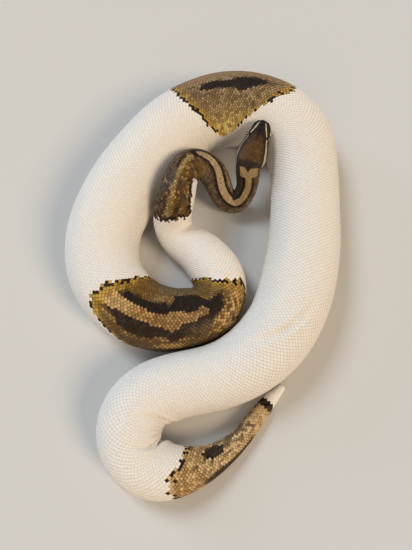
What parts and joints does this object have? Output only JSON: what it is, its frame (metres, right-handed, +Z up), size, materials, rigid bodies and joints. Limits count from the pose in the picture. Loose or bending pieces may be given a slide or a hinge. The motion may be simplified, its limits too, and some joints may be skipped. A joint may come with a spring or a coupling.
{
  "type": "coiled ball python",
  "caption": "Life-size still model of a piebald ball python lying in a loose coil, neck folded in an S inside it and head resting raised against the coil.",
  "frame": {"origin": "on the floor under the middle of the whole outline", "axes": "+Z up, +Y from the tail's end of the coil towards its top, where the head points; the viewer of the main view stands on the -Y side"},
  "size_m": [0.2716, 0.4218, 0.0679],
  "materials": {
    "head_scale": "satin",
    "brown_scale": "satin",
    "white_scale": "satin",
    "eye": "polished"
  },
  "bodies": {
    "root": {"head": "head_scale", "lower_jaw": "head_scale", "neck": "brown_scale", "throat": "brown_scale", "fore_body": "white_scale", "trunk_1": "brown_scale", "trunk_2": "brown_scale", "trunk_3": "white_scale", "trunk_4": "white_scale", "trunk_5": "brown_scale", "trunk_6": "white_scale", "trunk_7": "white_scale", "trunk_8": "white_scale", "trunk_9": "white_scale", "trunk_10": "white_scale", "tail": "brown_scale", "tail_tip": "white_scale", "eye_left": "eye", "eye_right": "eye"}
  },
  "joints": []
}
